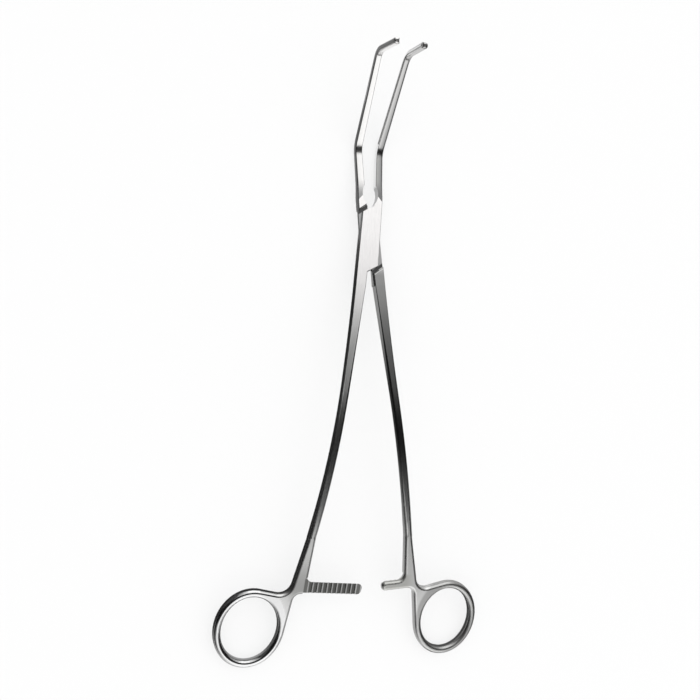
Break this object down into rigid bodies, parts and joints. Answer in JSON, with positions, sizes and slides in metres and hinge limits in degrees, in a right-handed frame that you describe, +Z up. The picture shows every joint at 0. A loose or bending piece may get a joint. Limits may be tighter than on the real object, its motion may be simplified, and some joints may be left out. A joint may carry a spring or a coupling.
{
  "type": "vascular clamp",
  "caption": "Partial-occlusion vascular clamp with twice-bent slender jaws, box lock, long shanks, finger rings and a ratchet, partly open.",
  "frame": {"origin": "middle of the bounding box in plan, on the table that the clamp lies on", "axes": "+Y along the clamp from the finger rings to the jaws, +Z up from the table, the way the clamp's front face and bent jaws point, +X to the right seen from above with the jaws away from the viewer"},
  "size_m": [0.1158, 0.2507, 0.0431],
  "materials": {
    "box_half_steel": "stainless steel, polished rings and lock, satin webs and ratchet",
    "tongue_half_steel": "stainless steel, polished rings and lock, satin webs and ratchet",
    "pin_steel": "stainless steel, ground flush with the lock"
  },
  "bodies": {
    "box_half": {"box_half": "box_half_steel", "joint_pin": "pin_steel"},
    "tongue_half": {"tongue_half": "tongue_half_steel"}
  },
  "joints": [
    {"name": "box_lock_hinge", "type": "hinge", "parent": "box_half", "child": "tongue_half", "pos_m": [0, 0.0513, 0.00667], "axis": [0, 0.1294, 0.9916], "range_deg": [-8, 36.9]}
  ]
}
